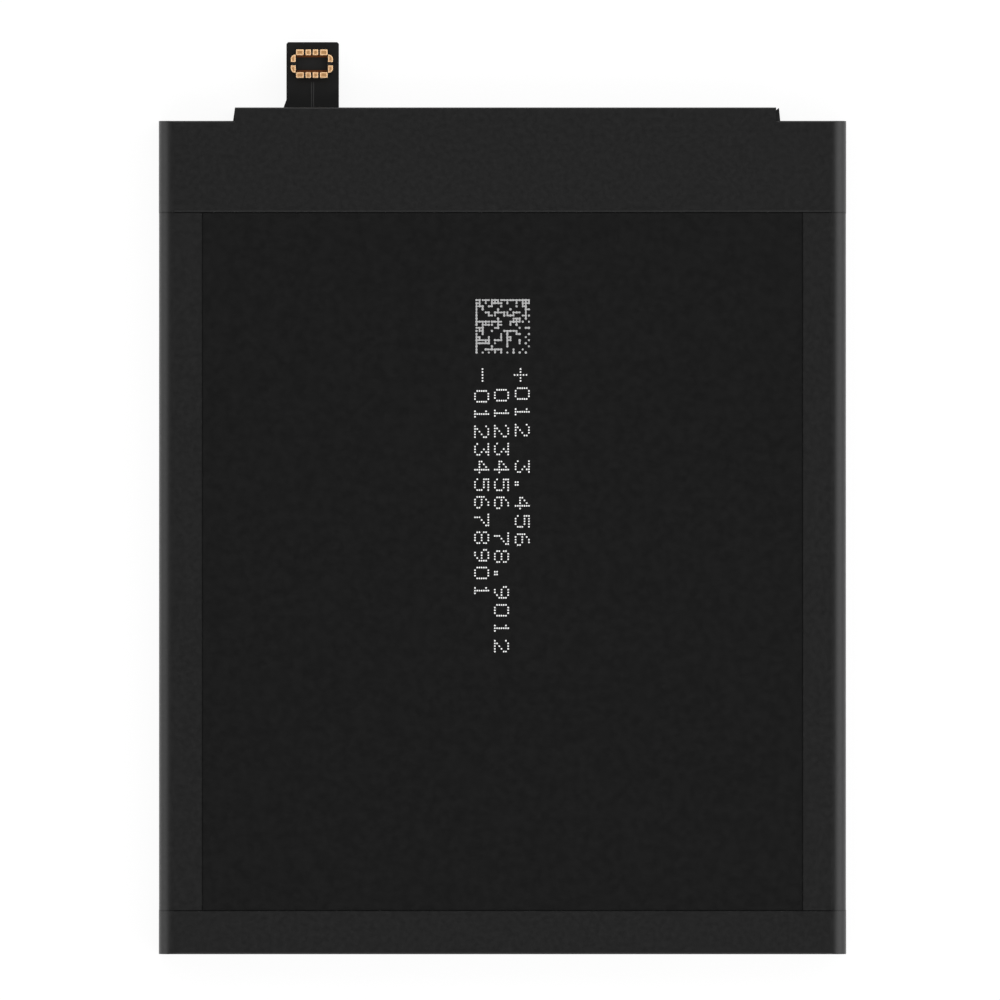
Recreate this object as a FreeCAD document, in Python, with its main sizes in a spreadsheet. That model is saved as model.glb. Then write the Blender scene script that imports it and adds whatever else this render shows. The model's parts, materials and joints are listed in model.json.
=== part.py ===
import FreeCAD
import Part
import Sketcher
import os

# Mobile phone battery: a flat pouch cell in a folded film wrap, a raised head that holds the protection
# board, and a flex tail with a board-to-board connector. Millimetres, +Z out of the front face, +Y towards
# the head, origin in the middle of the flat back between the bottom edge and the shoulders.

doc = FreeCAD.newDocument("phone_battery")
dims = doc.addObject("Spreadsheet::Sheet", "dims")
parts = []

# Two lengths nearer than SAME are one, and a volume or step under NOTHING is none
SAME = 1e-4
NOTHING = 1e-9

# How far a cut runs past what it cuts
PAST = "1"


# Driving dimensions

SIZES = {
    # Film wrap
    "film": 0.08,
    "wrap_edge_radius": 1.5,
    "wrap_back_radius": 0.24,
    "ear_lap": 0.02,
    "ear_drop": 2.6,
    "fold_radius": 0.15,
    "side_flap_width": 4.2,
    "bottom_flap_length": 4.2,
    "head_flap_length": 8.9,
    "left_shoulder": 7.24,
    "right_shoulder": 6.43,
    "neck_height": 1.31,
    "neck_slant_left": 0.19,
    "neck_slant_right": 0.13,
    "bare_neck_left": 0.19,
    "bare_neck_right": 0.41,
    "nick_width": 0.2,
    "nick_depth": 0.19,
    # Pouch cell
    "cell_width": 67.0,
    "cell_thickness": 4.2,
    "cell_length": 78.0,
    "cup_edge_radius": 1.3,
    "cup_corner_radius": 1.6,
    "side_seal_thickness": 0.25,
    "side_seal_height": 2.6,
    "side_seal_fold": 0.2,
    "terrace_depth": 4.5,
    "terrace_thickness": 0.4,
    "terrace_trim": 2.0,
    # Tabs and their seals
    "tab_width": 5.0,
    "tab_thickness": 0.1,
    "tab_overhang": 2.0,
    "tab_bend_radius": 0.4,
    "tab_seal_width": 7.2,
    "tab_seal_film": 0.05,
    "tab_seal_depth": 4.0,
    "tab_seal_lip": 0.5,
    "plate_width": 5.8,
    "plate_length": 3.8,
    "plate_thickness": 0.15,
    "plate_margin": 0.4,
    "plate_corner": 0.3,
    "tab_tip_margin": 0.3,
    "tape_thickness": 0.06,
    "tape_width": 6.2,
    "tape_length": 3.6,
    # Board and what it lies on
    "insulator_thickness": 0.08,
    "insulator_inset": 2.6,
    "foam_thickness": 0.7,
    "foam_inset": 0.4,
    "board_depth": 5.0,
    "board_thickness": 0.6,
    "board_setback": 0.6,
    "board_corner": 0.4,
    "board_clearance": 0.1,
    # Moulded bracket round the board
    "bracket_reach": 3.27,
    "bracket_wall": 0.6,
    "bracket_roof": 0.6,
    "bracket_rib": 0.3,
    "bracket_clearance": 0.1,
    "post_width": 0.8,
    "post_inset": 0.3,
    # Parts on the board
    "switch_size": 2.6,
    "switch_height": 0.75,
    "chip_size": 1.6,
    "chip_height": 0.6,
    "package_bevel": 0.08,
    "dot_radius": 0.15,
    "dot_depth": 0.04,
    "sense_length": 2.0,
    "sense_depth": 1.25,
    "fuse_length": 3.2,
    "fuse_depth": 1.6,
    "wide_chip_height": 0.55,
    "small_length": 1.0,
    "small_depth": 0.5,
    "small_height": 0.35,
    "cap_share_length": 0.25,
    "cap_step": 0.03,
    # Flex tail
    "tail_inset": 4.32,
    "tail_width": 5.13,
    "tail_thickness": 0.2,
    "tail_reach": 6.42,
    "tail_corner": 0.17,
    "tail_flare": 0.29,
    "tail_flare_height": 0.79,
    "tail_root_margin": 0.5,
    "tail_clearance": 0.06,
    "groove_width": 0.19,
    "groove_depth": 0.03,
    "groove_end": 3.92,
    "stiffener_length": 3.9,
    "stiffener_thickness": 0.2,
    # Board-to-board connector
    "connector_inset": 2.49,
    "connector_drop": 2.12,
    "ring_width": 4.1,
    "ring_depth": 2.776,
    "contact_height": 0.75,
    "contact_sheet": 0.08,
    "contact_bend": 0.1,
    "row_depth": 0.556,
    "power_width": 0.74,
    "signal_width": 0.53,
    "contact_gap": 0.176,
    "contact_foot": 0.34,
    "contact_lift": 0.26,
    "contact_rim": 0.04,
    "groove_seat": 0.04,
    "housing_floor": 0.2,
    "housing_margin": 0.04,
    "recess_margin": 0.02,
    "ledge_depth": 0.22,
    "anchor_gap": 0.05,
    "anchor_split": 0.34,
    "anchor_radius": 0.41,
}


def fill_sheet():
    for row, (alias, value) in enumerate(SIZES.items(), start=1):
        dims.set("A%d" % row, alias)
        dims.set("B%d" % row, str(value))
        dims.setAlias("B%d" % row, alias)
    doc.recompute()


fill_sheet()


# Expressions

def size(alias):
    return "dims." + alias


def add(*terms):
    return "(" + " + ".join(str(term) for term in terms) + ")"


def less(first, *terms):
    return "(" + " - ".join([str(first)] + [str(term) for term in terms]) + ")"


def times(*terms):
    return "(" + " * ".join(str(term) for term in terms) + ")"


def half(term):
    return "(" + str(term) + " / 2)"


def minus(term):
    return "(0 - " + str(term) + ")"


def number(expression):
    return float(dims.evalExpression(str(expression)))


# Sketches, pads and pockets. A plane name gives the two drawn axes. START and LENGTH run along the third.

PLANES = {"XY": ("XY_Plane", False), "XZ": ("XZ_Plane", True), "YZ": ("YZ_Plane", False)}


def origin_plane(body, role):
    for feature in body.Origin.OriginFeatures:
        if feature.Role == role:
            return feature
    raise ValueError(role)


def sign(value):
    if abs(value) < NOTHING:
        return 0
    return 1 if value > 0 else -1


def tangent_points(corners):
    """Each corner is (x, y), or (x, y, radius) between two sides that are square to each other."""
    points = []
    count = len(corners)
    for index, corner in enumerate(corners):
        if len(corner) == 2:
            points.append((corner[0], corner[1], None))
            continue
        x, y, radius = corner
        before = corners[index - 1]
        after = corners[(index + 1) % count]
        in_x = sign(number(x) - number(before[0]))
        in_y = sign(number(y) - number(before[1]))
        out_x = sign(number(after[0]) - number(x))
        out_y = sign(number(after[1]) - number(y))
        first = (less(x, times(in_x, radius)), less(y, times(in_y, radius)))
        last = (add(x, times(out_x, radius)), add(y, times(out_y, radius)))
        centre = (add(first[0], times(out_x, radius)), add(first[1], times(out_y, radius)))
        left_turn = in_x * out_y - in_y * out_x > 0
        points.append((first[0], first[1], (centre, left_turn)))
        points.append((last[0], last[1], None))
    return points


def pin(sketch, index, place, x, y):
    for kind, expression in (("DistanceX", x), ("DistanceY", y)):
        value = number(expression)
        constraint = sketch.addConstraint(Sketcher.Constraint(kind, -1, 1, index, place, value))
        sketch.setExpression("Constraints[%d]" % constraint, str(expression))


def draw(sketch, corners):
    """Adds one closed outline of lines and quarter arcs, each point bound to the sheet."""
    points = tangent_points(corners)
    count = len(points)
    spots = [FreeCAD.Vector(number(x), number(y), 0) for x, y, _ in points]
    ends = []
    for index, (x, y, arc) in enumerate(points):
        start = spots[index]
        stop = spots[(index + 1) % count]
        if arc is None:
            geometry = sketch.addGeometry(Part.LineSegment(start, stop), False)
            ends.append((geometry, 1, 2))
            continue
        centre, left_turn = arc
        middle = FreeCAD.Vector(number(centre[0]), number(centre[1]), 0)
        circle = Part.Circle(middle, FreeCAD.Vector(0, 0, 1), (start - middle).Length)
        low, high = (start, stop) if left_turn else (stop, start)
        curve = Part.ArcOfCircle(circle, circle.parameter(low), circle.parameter(high))
        geometry = sketch.addGeometry(curve, False)
        ends.append((geometry, 1, 2) if left_turn else (geometry, 2, 1))
    for index, (x, y, arc) in enumerate(points):
        geometry, start, stop = ends[index]
        following = ends[(index + 1) % count]
        sketch.addConstraint(Sketcher.Constraint("Coincident", geometry, stop, following[0], following[1]))
        pin(sketch, geometry, start, x, y)
        if arc is not None:
            expression = arc[0][0]
            value = number(expression)
            constraint = sketch.addConstraint(Sketcher.Constraint("DistanceX", -1, 1, geometry, 3, value))
            sketch.setExpression("Constraints[%d]" % constraint, expression)


def profile(body, name, plane, start, outlines):
    role, facing_back = PLANES[plane]
    sketch = body.newObject("Sketcher::SketchObject", name + "_sketch")
    sketch.AttachmentSupport = [(origin_plane(body, role), "")]
    sketch.MapMode = "FlatFace"
    sketch.setExpression(".AttachmentOffset.Base.z", minus(start) if facing_back else str(start))
    for corners in outlines:
        draw(sketch, corners)
    doc.recompute()
    return sketch


def volume_of(body):
    return body.Shape.Volume if body.Tip is not None else 0.0


def grow(body, name, plane, start, length, *outlines):
    """Pads the outlines from START to START + LENGTH."""
    sketch = profile(body, name, plane, start, outlines)
    feature = body.newObject("PartDesign::Pad", name)
    feature.Profile = sketch
    feature.setExpression("Length", str(length))
    feature.Reversed = PLANES[plane][1]
    doc.recompute()
    return feature


def carve(body, name, plane, start, length, *outlines):
    """Pockets the outlines from START to START + LENGTH."""
    before = volume_of(body)
    sketch = profile(body, name, plane, start, outlines)
    feature = body.newObject("PartDesign::Pocket", name)
    feature.Profile = sketch
    feature.setExpression("Length", str(length))
    feature.Reversed = not PLANES[plane][1]
    doc.recompute()
    if volume_of(body) > before - NOTHING:
        raise ValueError(name + " removes nothing")
    return feature


def dimple(body, name, x, y, top, radius, depth):
    """Pockets a round mark from above."""
    sketch = body.newObject("Sketcher::SketchObject", name + "_sketch")
    sketch.AttachmentSupport = [(origin_plane(body, "XY_Plane"), "")]
    sketch.MapMode = "FlatFace"
    sketch.setExpression(".AttachmentOffset.Base.z", str(top))
    middle = FreeCAD.Vector(number(x), number(y), 0)
    circle = Part.Circle(middle, FreeCAD.Vector(0, 0, 1), number(radius))
    geometry = sketch.addGeometry(circle, False)
    pin(sketch, geometry, 3, x, y)
    constraint = sketch.addConstraint(Sketcher.Constraint("Radius", geometry, number(radius)))
    sketch.setExpression("Constraints[%d]" % constraint, str(radius))
    doc.recompute()
    feature = body.newObject("PartDesign::Pocket", name)
    feature.Profile = sketch
    feature.setExpression("Length", str(depth))
    doc.recompute()
    return feature


def edges_where(body, chosen):
    shape = body.Tip.Shape
    return ["Edge%d" % (i + 1) for i, edge in enumerate(shape.Edges) if chosen(edge)]


def soften(body, name, kind, value, chosen):
    """Fillets or chamfers the edges that the function CHOSEN picks."""
    base = body.Tip
    names = edges_where(body, chosen)
    if not names:
        raise ValueError(name + " finds no edge")
    feature = body.newObject("PartDesign::" + kind, name)
    feature.Base = (base, names)
    feature.setExpression("Radius" if kind == "Fillet" else "Size", str(value))
    doc.recompute()
    return feature


def at(edge, axis, expression):
    """True when the whole edge lies at this height on the axis."""
    wanted = number(expression)
    box = edge.BoundBox
    low = getattr(box, axis + "Min")
    high = getattr(box, axis + "Max")
    return abs(low - wanted) < SAME and abs(high - wanted) < SAME


def upright(edge):
    box = edge.BoundBox
    return box.XLength < SAME and box.YLength < SAME


def rectangle(x0, y0, x1, y1, radius=None):
    corners = [(x0, y0), (x1, y0), (x1, y1), (x0, y1)]
    if radius is None:
        return corners
    return [(x, y, radius) for x, y in corners]


def new_part(name, x, y, z):
    body = doc.addObject("PartDesign::Body", name)
    body.Label = name
    body.setExpression(".Placement.Base.x", str(x))
    body.setExpression(".Placement.Base.y", str(y))
    body.setExpression(".Placement.Base.z", str(z))
    parts.append(body)
    return body


# Lines that several pieces share, in the frame of the whole pack

FILM = size("film")
INNER_HALF = half(size("cell_width"))
OUTER_HALF = add(INNER_HALF, FILM)
PACK_LENGTH = add(times(2, FILM), size("cell_length"), size("bracket_reach"))
BOTTOM_Y = minus(half(PACK_LENGTH))
CELL_Y = add(BOTTOM_Y, FILM)
CELL_END_Y = add(CELL_Y, size("cell_length"))
CUP_END_Y = less(CELL_END_Y, size("terrace_depth"))
SHOULDER_Y = add(BOTTOM_Y, PACK_LENGTH)
NECK_Y = add(SHOULDER_Y, size("neck_height"))

INNER_TOP_Z = add(FILM, size("cell_thickness"))
WRAP_TOP_Z = add(INNER_TOP_Z, times(2, FILM))
TERRACE_TOP_Z = add(FILM, size("terrace_thickness"))
INSULATOR_TOP_Z = add(TERRACE_TOP_Z, size("insulator_thickness"))
FOAM_TOP_Z = add(INSULATOR_TOP_Z, size("foam_thickness"))
BOARD_TOP_Z = add(FOAM_TOP_Z, size("board_thickness"))
PLATE_TOP_Z = add(BOARD_TOP_Z, size("plate_thickness"))
TAB_Z = add(FILM, half(less(size("terrace_thickness"), size("tab_thickness"))))
TAB_TOP_Z = add(PLATE_TOP_Z, size("tab_thickness"))
TAIL_TOP_Z = add(BOARD_TOP_Z, size("tail_thickness"))

NECK_LEFT = add(minus(OUTER_HALF), size("left_shoulder"))
NECK_RIGHT = less(OUTER_HALF, size("right_shoulder"))
FILM_NECK_RIGHT = less(NECK_RIGHT, size("bare_neck_right"))
POCKET_LEFT = add(NECK_LEFT, size("neck_slant_left"), size("bracket_wall"))
POCKET_RIGHT = less(NECK_RIGHT, size("neck_slant_right"), size("bracket_wall"))
BOARD_LEFT = add(POCKET_LEFT, size("board_clearance"))
BOARD_RIGHT = less(POCKET_RIGHT, size("board_clearance"))
BOARD_Y = add(CUP_END_Y, size("board_setback"))
TAIL_LEFT = add(BOARD_LEFT, size("tail_inset"))
TAIL_RIGHT = add(TAIL_LEFT, size("tail_width"))
TAIL_END_Y = add(NECK_Y, size("tail_reach"))
TAIL_ROOT_Y = add(BOARD_Y, size("tail_root_margin"))
PLATE_Y = add(BOARD_Y, size("plate_margin"))
POST_Y = add(BOARD_Y, size("post_inset"))


# Places along the board, left to right, with equal gaps

def spread(start, stop, items):
    """Left edges of ITEMS, a list of (name, width), with the same gap before, between and after them."""
    total = add(*[width for _, width in items])
    gap = "(%s / %d)" % (less(stop, start, total), len(items) + 1)
    places = {}
    left = add(start, gap)
    for name, width in items:
        places[name] = left
        left = add(left, width, gap)
    return places


LEFT_OF_TAIL = [
    ("left_post", size("post_width")),
    ("thermistor", size("small_length")),
]
RIGHT_OF_TAIL = [
    ("negative_plate", size("plate_width")),
    ("charge_switch", size("switch_size")),
    ("discharge_switch", size("switch_size")),
    ("protection_chip", size("chip_size")),
    ("sense_resistor", size("sense_length")),
    ("resistors", size("small_length")),
    ("positive_plate", size("plate_width")),
    ("board_fuse", size("fuse_length")),
    ("backup_protection_chip", size("chip_size")),
    ("capacitors", size("small_length")),
    ("right_post", size("post_width")),
]
PLACE_X = spread(BOARD_LEFT, less(TAIL_LEFT, size("tail_flare")), LEFT_OF_TAIL)
PLACE_X.update(spread(TAIL_RIGHT, BOARD_RIGHT, RIGHT_OF_TAIL))
SIDES = ("negative", "positive")
TAB_X = {side: add(PLACE_X[side + "_plate"], half(size("plate_width"))) for side in SIDES}


# Pouch cell: a deep-drawn cup with its side seals folded up and a sealed ledge for the tabs at the head

def pouch_cell():
    body = new_part("pouch_cell", "0", CELL_Y, FILM)
    cup_half = less(INNER_HALF, size("side_seal_thickness"))
    cup_length = less(size("cell_length"), size("terrace_depth"))
    corner = size("cup_corner_radius")
    top = size("cell_thickness")
    cup = rectangle(minus(cup_half), "0", cup_half, cup_length, corner)
    grow(body, "cup", "XY", "0", top, cup)
    soften(body, "cup_edge", "Fillet", size("cup_edge_radius"), lambda edge: at(edge, "Z", top))

    trim = size("terrace_trim")
    end = size("cell_length")
    start = less(cup_length, times(2, corner))
    ledge = [
        (minus(cup_half), start), (cup_half, start), (cup_half, less(end, trim)),
        (less(cup_half, trim), end), (less(trim, cup_half), end), (minus(cup_half), less(end, trim)),
    ]
    grow(body, "terrace", "XY", "0", size("terrace_thickness"), ledge)

    root = less(cup_half, size("side_seal_thickness"))
    height = size("side_seal_height")
    for side, name in ((-1, "left"), (1, "right")):
        seal = rectangle(times(side, root), "0", times(side, INNER_HALF), height)
        grow(body, name + "_seal", "XZ", corner, less(cup_length, times(2, corner)), seal)

    def seal_edge(edge):
        on_side = abs(abs(edge.CenterOfMass.x) - number(INNER_HALF)) < SAME
        long_edge = edge.BoundBox.YLength > number(corner) and edge.BoundBox.ZLength < SAME
        return on_side and long_edge and edge.CenterOfMass.z < SAME

    soften(body, "seal_fold", "Fillet", size("side_seal_fold"), seal_edge)

    seal_half = half(size("tab_seal_width"))
    low = less(TAB_Z, FILM, size("tab_seal_film"))
    high = add(low, times(2, size("tab_seal_film")), size("tab_thickness"))
    slots = [rectangle(less(TAB_X[side], seal_half), low, add(TAB_X[side], seal_half), high) for side in SIDES]
    depth = size("tab_seal_depth")
    carve(body, "tab_seal_slots", "XZ", less(end, depth), add(depth, PAST), *slots)


# Folded film wrap: plain back, four folded edges, side flaps under a bottom flap and a head flap

def side_flap_section():
    """Outline across the pack where only the side flaps lie on the front."""
    back = size("wrap_back_radius")
    front = size("wrap_edge_radius")
    top = add(times(2, FILM), size("cell_thickness"))
    return [
        (minus(OUTER_HALF), "0", back), (OUTER_HALF, "0", back),
        (OUTER_HALF, top, front), (minus(OUTER_HALF), top, front),
    ]


def cross_flap_section():
    """Outline of a flap that crosses the pack over the side flaps, with its ears bent down the sides."""
    wide = add(OUTER_HALF, size("ear_lap"))
    front = add(size("wrap_edge_radius"), FILM)
    low = less(WRAP_TOP_Z, size("ear_drop"))
    return [
        (minus(wide), low), (wide, low),
        (wide, WRAP_TOP_Z, front), (minus(wide), WRAP_TOP_Z, front),
    ]


def round_fold(body, name, x0, x1, y, z, y_side, z_side):
    """Rounds the sharp fold that runs along X through (y, z) at the outside of the wrap."""
    radius = size("fold_radius")
    back_y = less(y, times(y_side, 2, radius))
    back_z = less(z, times(z_side, 2, radius))
    beyond_y = add(y, times(y_side, radius))
    beyond_z = add(z, times(z_side, radius))
    corner = [
        (beyond_y, back_z), (y, back_z), (y, z, radius),
        (back_y, z), (back_y, beyond_z), (beyond_y, beyond_z),
    ]
    carve(body, name, "YZ", x0, less(x1, x0), corner)


def wrap_film():
    body = new_part("wrap_film", "0", BOTTOM_Y, "0")
    shoulder = PACK_LENGTH
    neck = add(shoulder, size("neck_height"))
    head_seam = less(shoulder, size("head_flap_length"))
    grow(body, "side_flaps", "XZ", "0", shoulder, side_flap_section())
    grow(body, "bottom_flap", "XZ", "0", size("bottom_flap_length"), cross_flap_section())
    grow(body, "head_flap", "XZ", head_seam, size("head_flap_length"), cross_flap_section())

    left = add(NECK_LEFT, size("bare_neck_left"))
    right = FILM_NECK_RIGHT
    inside = half(add(head_seam, shoulder))
    grow(body, "neck", "XY", "0", WRAP_TOP_Z, rectangle(left, inside, right, neck))

    beyond = add(OUTER_HALF, PAST)
    for side, z, z_side in (("front", WRAP_TOP_Z, 1), ("back", "0", -1)):
        round_fold(body, "bottom_fold_" + side, minus(beyond), beyond, "0", z, -1, z_side)
        round_fold(body, "neck_fold_" + side, left, right, neck, z, 1, z_side)
        round_fold(body, "left_fold_" + side, minus(beyond), left, shoulder, z, 1, z_side)
        round_fold(body, "right_fold_" + side, right, beyond, shoulder, z, 1, z_side)

    inner_front = less(size("wrap_edge_radius"), FILM)
    inner_back = less(size("wrap_back_radius"), FILM)
    inside_section = [
        (minus(INNER_HALF), FILM, inner_back), (INNER_HALF, FILM, inner_back),
        (INNER_HALF, INNER_TOP_Z, inner_front), (minus(INNER_HALF), INNER_TOP_Z, inner_front),
    ]
    carve(body, "inside", "XZ", FILM, less(shoulder, times(2, FILM)), inside_section)

    gap = size("board_clearance")
    neck_inside = less(neck, FILM)
    open_left = less(NECK_LEFT, gap)
    open_right = add(NECK_RIGHT, gap)
    neck_hollow = rectangle(open_left, inside, open_right, neck_inside)
    carve(body, "neck_inside", "XY", FILM, size("cell_thickness"), neck_hollow)

    window_half = less(OUTER_HALF, size("side_flap_width"))
    window = rectangle(minus(window_half), size("bottom_flap_length"), window_half, head_seam)
    carve(body, "window", "XY", INNER_TOP_Z, times(3, FILM), window)

    clear = size("tail_clearance")
    slot = rectangle(
        less(TAIL_LEFT, size("tail_flare"), clear), less(BOARD_TOP_Z, clear),
        add(TAIL_RIGHT, clear), add(TAIL_TOP_Z, clear),
    )
    carve(body, "tail_slot", "XZ", less(neck, times(2, FILM)), times(4, FILM), slot)


# Moulded bracket: closes the head, makes the shoulders and the neck, and holds the board down with posts

def board_bracket():
    rear = add(CUP_END_Y, size("bracket_clearance"))
    body = new_part("board_bracket", "0", rear, FILM)
    wide = less(INNER_HALF, size("bracket_clearance"))
    shoulder = less(SHOULDER_Y, FILM, rear)
    neck = less(NECK_Y, FILM, rear)
    top = size("cell_thickness")
    plan = [
        (minus(wide), "0"), (wide, "0"), (wide, shoulder), (NECK_RIGHT, shoulder),
        (less(NECK_RIGHT, size("neck_slant_right")), neck), (add(NECK_LEFT, size("neck_slant_left")), neck),
        (NECK_LEFT, shoulder), (minus(wide), shoulder),
    ]
    grow(body, "block", "XY", "0", top, plan)

    def side_edge(edge):
        return at(edge, "Z", top) and abs(abs(edge.CenterOfMass.x) - number(wide)) < SAME

    soften(body, "side_rounds", "Fillet", less(size("wrap_edge_radius"), FILM), side_edge)

    def back_side_edge(edge):
        return at(edge, "Z", "0") and abs(abs(edge.CenterOfMass.x) - number(wide)) < SAME

    soften(body, "back_rounds", "Fillet", size("wrap_back_radius"), back_side_edge)

    beyond = add(neck, FILM)
    nick = [
        (FILM_NECK_RIGHT, less(neck, size("nick_depth"))),
        (add(FILM_NECK_RIGHT, size("nick_width")), neck),
        (add(FILM_NECK_RIGHT, size("nick_width")), beyond), (FILM_NECK_RIGHT, beyond),
    ]
    carve(body, "neck_nick", "XY", "0", top, nick)

    step = add(size("terrace_thickness"), size("insulator_thickness"))
    step_end = less(add(CELL_END_Y, size("bracket_clearance")), rear)
    ledge_room = rectangle(less(minus(wide), PAST), minus(PAST), add(wide, PAST), step_end)
    carve(body, "ledge_room", "XY", "0", step, ledge_room)

    wall = size("bracket_wall")
    ceiling = less(top, size("bracket_roof"))
    board_room = rectangle(POCKET_LEFT, size("bracket_rib"), POCKET_RIGHT, less(neck, wall))
    carve(body, "board_room", "XY", "0", ceiling, board_room)
    left_core = rectangle(add(minus(wide), wall), wall, less(NECK_LEFT, wall), less(shoulder, wall))
    right_core = rectangle(add(NECK_RIGHT, wall), wall, less(wide, wall), less(shoulder, wall))
    carve(body, "shoulder_cores", "XY", "0", ceiling, left_core, right_core)

    clear = size("tail_clearance")
    slot = rectangle(
        less(TAIL_LEFT, size("tail_flare"), clear), less(neck, wall, clear),
        add(TAIL_RIGHT, clear), add(neck, clear),
    )
    carve(body, "tail_gate", "XY", "0", less(add(TAIL_TOP_Z, clear), FILM), slot)

    board_top = less(BOARD_TOP_Z, FILM)
    post_y = less(POST_Y, rear)
    width = size("post_width")
    for name in ("left_post", "right_post"):
        x = PLACE_X[name]
        post = rectangle(x, post_y, add(x, width), add(post_y, width))
        grow(body, name, "XY", board_top, less(ceiling, board_top), post)


# Insulating film on the ledge, foam tape on it, and the board on the foam

def terrace_insulator():
    clear = size("bracket_clearance")
    wide = less(INNER_HALF, size("insulator_inset"))
    body = new_part("terrace_insulator", "0", add(CUP_END_Y, clear), TERRACE_TOP_Z)
    sheet = rectangle(minus(wide), "0", wide, less(size("terrace_depth"), times(2, clear)))
    grow(body, "sheet", "XY", "0", size("insulator_thickness"), sheet)


def board_foam_tape():
    inset = size("foam_inset")
    rear = add(BOARD_Y, inset)
    body = new_part("board_foam_tape", "0", rear, INSULATOR_TOP_Z)
    strip = rectangle(add(BOARD_LEFT, inset), "0", less(BOARD_RIGHT, inset), less(CELL_END_Y, inset, rear))
    grow(body, "strip", "XY", "0", size("foam_thickness"), strip)


def protection_board():
    body = new_part("protection_board", BOARD_LEFT, BOARD_Y, FOAM_TOP_Z)
    plan = rectangle("0", "0", less(BOARD_RIGHT, BOARD_LEFT), size("board_depth"), size("board_corner"))
    grow(body, "panel", "XY", "0", size("board_thickness"), plan)


# Tabs: strips that leave the cell through polymer seals and fold back onto nickel plates on the board

def tab_set(side):
    middle = TAB_X[side]
    inner_end = less(CELL_END_Y, size("tab_seal_depth"))
    tab_half = half(size("tab_width"))
    sheet = size("tab_thickness")

    tab = new_part(side + "_tab", middle, inner_end, TAB_Z)
    reach = add(size("tab_seal_depth"), size("tab_overhang"))
    height = less(TAB_TOP_Z, TAB_Z)
    tip = less(add(PLATE_Y, size("tab_tip_margin")), inner_end)
    inner_bend = size("tab_bend_radius")
    outer_bend = add(inner_bend, sheet)
    strip = [
        ("0", "0"), (reach, "0", outer_bend), (reach, height, outer_bend), (tip, height),
        (tip, less(height, sheet)), (less(reach, sheet), less(height, sheet), inner_bend),
        (less(reach, sheet), sheet, inner_bend), ("0", sheet),
    ]
    grow(tab, "strip", "YZ", minus(tab_half), size("tab_width"), strip)

    skin = size("tab_seal_film")
    seal = new_part(side + "_tab_seal", middle, inner_end, less(TAB_Z, skin))
    seal_half = half(size("tab_seal_width"))
    outer = rectangle(minus(seal_half), "0", seal_half, add(sheet, times(2, skin)))
    inner = rectangle(minus(tab_half), skin, tab_half, add(sheet, skin))
    grow(seal, "sleeve", "XZ", "0", add(size("tab_seal_depth"), size("tab_seal_lip")), outer, inner)

    plate = new_part(side + "_weld_plate", PLACE_X[side + "_plate"], PLATE_Y, BOARD_TOP_Z)
    plan = rectangle("0", "0", size("plate_width"), size("plate_length"), size("plate_corner"))
    grow(plate, "plate", "XY", "0", size("plate_thickness"), plan)

    tape_y = add(PLATE_Y, half(less(size("plate_length"), size("tape_length"))))
    tape = new_part(side + "_tab_tape", middle, tape_y, TAB_TOP_Z)
    tape_half = half(size("tape_width"))
    cover = rectangle(minus(tape_half), "0", tape_half, size("tape_length"))
    grow(tape, "cover", "XY", "0", size("tape_thickness"), cover)


# Moulded packages and chip parts on the board

def package(name, length, depth, height):
    """Leadless package with bevelled top edges and a dot at its first corner, midway across the board."""
    y = add(BOARD_Y, half(less(size("board_depth"), depth)))
    body = new_part(name, PLACE_X[name], y, BOARD_TOP_Z)
    grow(body, "package", "XY", "0", height, rectangle("0", "0", length, depth))
    soften(body, "bevel", "Chamfer", size("package_bevel"), lambda edge: at(edge, "Z", height))
    radius = size("dot_radius")
    inset = add(times(2, radius), size("package_bevel"))
    dimple(body, "dot", inset, inset, height, radius, size("dot_depth"))


def chip(name, x, y, length, depth, height):
    """Chip part whose two metal end caps stand a step above its ceramic body."""
    body = new_part(name, x, y, BOARD_TOP_Z)
    end = size("cap_share_length")
    low = less(height, size("cap_step"))
    side_view = [
        ("0", "0"), (length, "0"), (length, height), (less(length, end), height), (less(length, end), low),
        (end, low), (end, height), ("0", height),
    ]
    grow(body, "chip", "XZ", "0", depth, side_view)


def chip_column(kind, x, count):
    """COUNT small chips, one behind the other, with equal gaps across the board."""
    depth = size("small_depth")
    gap = "(%s / %d)" % (less(size("board_depth"), times(count, depth)), count + 1)
    for index in range(count):
        y = add(BOARD_Y, times(index + 1, gap), times(index, depth))
        chip("%s_%d" % (kind, index + 1), x, y, size("small_length"), depth, size("small_height"))


def board_parts():
    switch = size("switch_size")
    package("charge_switch", switch, switch, size("switch_height"))
    package("discharge_switch", switch, switch, size("switch_height"))
    package("protection_chip", size("chip_size"), size("chip_size"), size("chip_height"))
    package("backup_protection_chip", size("chip_size"), size("chip_size"), size("chip_height"))
    for name, length, depth, height in (
        ("sense_resistor", size("sense_length"), size("sense_depth"), size("wide_chip_height")),
        ("board_fuse", size("fuse_length"), size("fuse_depth"), size("wide_chip_height")),
        ("thermistor", size("small_length"), size("small_depth"), size("small_height")),
    ):
        y = add(BOARD_Y, half(less(size("board_depth"), depth)))
        chip(name, PLACE_X[name], y, length, depth, height)
    chip_column("chip_resistor", PLACE_X["resistors"], 3)
    chip_column("chip_capacitor", PLACE_X["capacitors"], 3)


# Flex tail: soldered flat on the board, out through the head, with a stiffener behind the connector

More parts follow.
